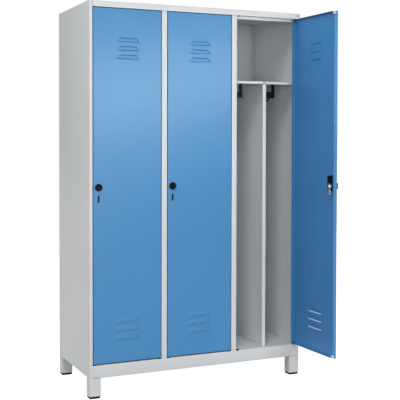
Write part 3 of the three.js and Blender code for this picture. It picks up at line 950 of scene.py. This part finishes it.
# Locks

KNOB_RADIUS, KNOB_BEAD, KNOB_CROWN = 18.5 * MM, 17 * MM, 13 * MM
GRIP_HALF_WIDTH, GRIP_HALF_LENGTH = 4.5 * MM, 16 * MM
SPINDLE_HALF = 4 * MM
CASE_LEG_HEIGHT, CASE_LEG_WIDTH = 10 * MM, 9 * MM
HUB_RADIUS = 13 * MM


def centre_of(low, high):
    """The middle of a box in the door's own frame, as (x, z)."""
    return (low.x + high.x) / 2, (low.z + high.z) / 2


def knob(n):
    """A round boss with a bar grip across it, and the square spindle behind it."""
    node = f"knob_{n}"
    place = door_place(n)
    low, high = local_box(node, place)
    x, z = centre_of(low, high)
    seat = OUTER - FIT
    face, bead = seat - 14 * MM, seat - 11 * MM
    boss = [(0, face), (KNOB_CROWN, face), (KNOB_BEAD, bead)]
    boss += [(KNOB_RADIUS, seat - 6 * MM), (KNOB_RADIUS, seat), (0, seat)]
    grip_x = (x - GRIP_HALF_WIDTH, x + GRIP_HALF_WIDTH)
    grip = rounded_rectangle(grip_x, (z - GRIP_HALF_LENGTH, z + GRIP_HALF_LENGTH), 4.4 * MM)
    spindle_low = (x - SPINDLE_HALF, seat - MM, z - SPINDLE_HALF)
    spindle_high = (x + SPINDLE_HALF, high.y, z + SPINDLE_HALF)

    def draw(bm):
        add_lathe(bm, soft_profile(boss, 2.5 * MM, 5), (x, z), along_y, 56)
        add_prism(bm, grip, (seat - 23 * MM, seat - 8 * MM), along_y)
        add_box(bm, spindle_low, spindle_high)

    build(f"{node}_grip", node, draw, place, bevel=1.2 * MM)


def lock_case(n):
    """A moulded case with a leg on either side of the tongue."""
    node = f"lock_case_{n}"
    place = door_place(n)
    low, high = local_box(node, place)
    leg_top = low.z + CASE_LEG_HEIGHT
    body = rounded_rectangle((low.x, high.x), (leg_top, high.z), 2.5 * MM)
    left_leg, right_leg = (low.x, low.x + CASE_LEG_WIDTH), (high.x - CASE_LEG_WIDTH, high.x)

    def draw(bm):
        add_prism(bm, body, (low.y, high.y), along_y)
        for x in (left_leg, right_leg):
            add_box(bm, (x[0], low.y, low.z), (x[1], high.y - 2 * MM, leg_top + 3 * MM))

    build(f"{node}_moulding", node, draw, place, bevel=0.8 * MM)


def tongue(n):
    """A plate that hangs from a round hub and widens below it."""
    node = f"latch_tongue_{n}"
    place = door_place(n)
    low, high = local_box(node, place)
    x = (low.x + high.x) / 2
    z = high.z - HUB_RADIUS
    hub = [(0, low.y), (HUB_RADIUS, low.y), (HUB_RADIUS, high.y), (0, high.y)]
    neck, blade = 7 * MM, 10 * MM
    top, shoulder, widest, tip = -4 * MM, -16 * MM, -24 * MM, low.z - z
    left = [(-neck, top), (-neck, shoulder), (-blade, widest), (-blade, tip)]
    right = [(-u, v) for u, v in reversed(left)]
    outline = [(x + u, z + v) for u, v in rounded_outline(left + right, 2 * MM, 4)]

    def draw(bm):
        add_lathe(bm, soft_profile(hub, 0.4 * MM), (x, z), along_y, 40)
        add_prism(bm, outline, (low.y, high.y), along_y)

    build(f"{node}_plate", node, draw, place, bevel=0.4 * MM)


def tongue_screw(n):
    """A round head with a sunk middle, which holds the tongue on the spindle."""
    node = f"tongue_screw_{n}"
    place = door_place(n)
    low, high = local_box(node, place)
    radius = (high.x - low.x) / 2
    well = high.y - 1.6 * MM
    profile = [(0, low.y), (radius, low.y), (radius, low.y + 1.2 * MM), (radius * 0.75, high.y - 0.6 * MM)]
    profile += [(3 * MM, high.y), (2.6 * MM, well), (0, well)]

    def draw(bm):
        add_lathe(bm, soft_profile(profile, 0.5 * MM), centre_of(low, high), along_y, 40)

    build(f"{node}_head", node, draw, place, bevel=0)


def slot_insert(n):
    """A black insert with a thin rim on the door's face and a body that reaches through the door."""
    node = f"slot_insert_{n}"
    place = door_place(n)
    low, high = local_box(node, place)
    rim = rounded_rectangle((low.x, high.x), (low.z, high.z), 4.4 * MM)
    body_x = (low.x + MM, high.x - MM)
    body = rounded_rectangle(body_x, (low.z + 1.5 * MM, high.z - 1.5 * MM), 3 * MM)

    def draw(bm):
        add_prism(bm, rim, (low.y, OUTER - 0.1 * MM), along_y)
        add_prism(bm, body, (OUTER - 0.2 * MM, high.y), along_y)

    build(f"{node}_moulding", node, draw, place, bevel=0.3 * MM)


def inside_plug(n):
    """A small moulded plug on the door's inside, above the lock case."""
    node = f"inside_plug_{n}"
    place = door_place(n)
    low, high = local_box(node, place)
    outline = rounded_rectangle((low.x, high.x), (low.z, high.z), 3.4 * MM)

    def draw(bm):
        add_prism(bm, outline, (low.y, high.y), along_y)

    build(f"{node}_moulding", node, draw, place, bevel=0.5 * MM)


for n in DOORS:
    knob(n)
    lock_case(n)
    tongue(n)
    tongue_screw(n)
    slot_insert(n)
    inside_plug(n)


# Floor, light and camera

WHITE = (1, 1, 1, 1)
FLOOR_HALF = 40
FLOOR_TONE = (0.4, 0.4, 0.4, 1)
FLOOR_GLOW = 1.0
AMBIENT, BACKDROP = 0.08, 1.0
AIM = Vector((0.6, 0, 1))
SOFTBOX_SIZE = (3, 3)

# name, azimuth from the front towards the right and elevation in degrees, distance in metres, watts
SOFTBOXES = (
    ("side_softbox", -97, 34, 5.8, 125),
    ("key_softbox", -36, 4, 8, 188),
    ("high_softbox", -36, 54, 8, 256),
    ("front_softbox", 4, 4, 8, 94),
    ("fill_softbox", 128, 24, 8, 200),
)


def add_floor():
    bm = bmesh.new()
    bmesh.ops.create_grid(bm, x_segments=2, y_segments=2, size=FLOOR_HALF)
    mesh = bpy.data.meshes.new("floor")
    bm.to_mesh(mesh)
    bm.free()
    floor = bpy.data.objects.new("floor", mesh)
    bpy.context.scene.collection.objects.link(floor)
    material, _, _, shader = new_material("floor_white")
    shader.inputs["Base Color"].default_value = FLOOR_TONE
    shader.inputs["Roughness"].default_value = 0.9
    shader.inputs["Specular IOR Level"].default_value = 0.1
    shader.inputs["Emission Color"].default_value = WHITE
    shader.inputs["Emission Strength"].default_value = FLOOR_GLOW
    mesh.materials.append(material)
    floor.visible_diffuse = False


def add_backdrop():
    """A white world, which lights the cabinet only faintly."""
    world = bpy.data.worlds.new("studio")
    bpy.context.scene.world = world
    world.use_nodes = True
    nodes, links = world.node_tree.nodes, world.node_tree.links
    background = nodes["Background"]
    background.inputs["Color"].default_value = WHITE
    path = nodes.new("ShaderNodeLightPath")
    strength = spread(nodes, links, path.outputs["Is Camera Ray"], AMBIENT, BACKDROP)
    links.new(strength, background.inputs["Strength"])


def add_light(name, place, target, size, power, roll=0.0):
    data = bpy.data.lights.new(name, "AREA")
    data.shape = "RECTANGLE"
    data.size, data.size_y = size
    data.energy = power
    light = bpy.data.objects.new(name, data)
    light.location = place
    aim = (Vector(target) - Vector(place)).to_track_quat("-Z", "Y").to_matrix()
    light.rotation_euler = (aim @ Matrix.Rotation(roll, 3, "Z")).to_euler()
    light.visible_camera = False
    bpy.context.scene.collection.objects.link(light)


def add_softboxes():
    for name, azimuth, elevation, distance, power in SOFTBOXES:
        turn, lift = math.radians(azimuth), math.radians(elevation)
        way = Vector((math.sin(turn) * math.cos(lift), -math.cos(turn) * math.cos(lift), math.sin(lift)))
        add_light(name, AIM + way * distance, AIM, SOFTBOX_SIZE, power)
    add_light("door_softbox", (1.8, -3.4, 1.78), (0.4, 0, 1.5), (2.2, 0.4), 47, math.radians(10))


add_floor()
add_backdrop()
add_softboxes()

YAW, PITCH = math.radians(22), math.radians(1.37)
SENSOR_WIDTH, FOCAL_LENGTH = 36, 74.16
CAMERA_AHEAD, CAMERA_ASIDE, CAMERA_HEIGHT = 3.785, 1.317, 1.269

camera_data = bpy.data.cameras.new("camera")
camera_data.sensor_width = SENSOR_WIDTH
camera_data.lens = FOCAL_LENGTH
camera_data.shift_x = 0.175
camera_data.shift_y = -0.1
camera = bpy.data.objects.new("camera", camera_data)
camera.location = (LEFT - CAMERA_ASIDE, FRONT - CAMERA_AHEAD, CAMERA_HEIGHT)
camera.rotation_euler = (math.pi / 2 - PITCH, 0, -YAW)
bpy.context.scene.collection.objects.link(camera)
bpy.context.scene.camera = camera
bpy.context.scene.view_settings.view_transform = "Standard"
